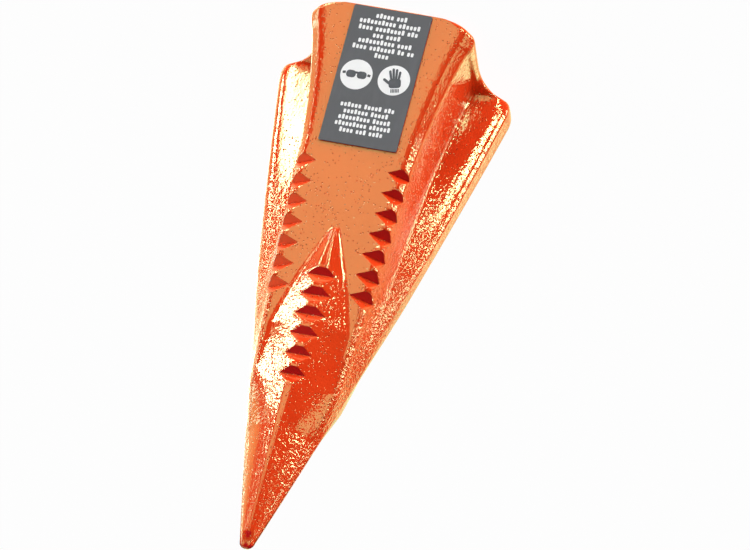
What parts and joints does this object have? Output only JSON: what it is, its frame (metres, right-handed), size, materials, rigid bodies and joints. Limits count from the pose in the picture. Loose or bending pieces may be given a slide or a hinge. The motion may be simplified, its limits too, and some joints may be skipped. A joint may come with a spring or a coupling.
{
  "type": "splitting wedge",
  "caption": "Forged steel splitting wedge: a diamond point that opens into front and back lobes with side wings, notched barbs on the ridges and corners, and a struck head.",
  "frame": {"origin": "centre of the striking face, which is also the face the wedge stands on point up", "axes": "+Z along the wedge's axis to its point, -Y out of the labelled front lobe, X across the two wings"},
  "size_m": [0.0808, 0.0719, 0.2],
  "materials": {
    "orange_enamel": "gloss enamel over a rough forged surface",
    "grey_vinyl": "satin self-adhesive vinyl"
  },
  "bodies": {
    "root": {"wedge_body": "orange_enamel", "safety_label": "grey_vinyl"}
  },
  "joints": []
}
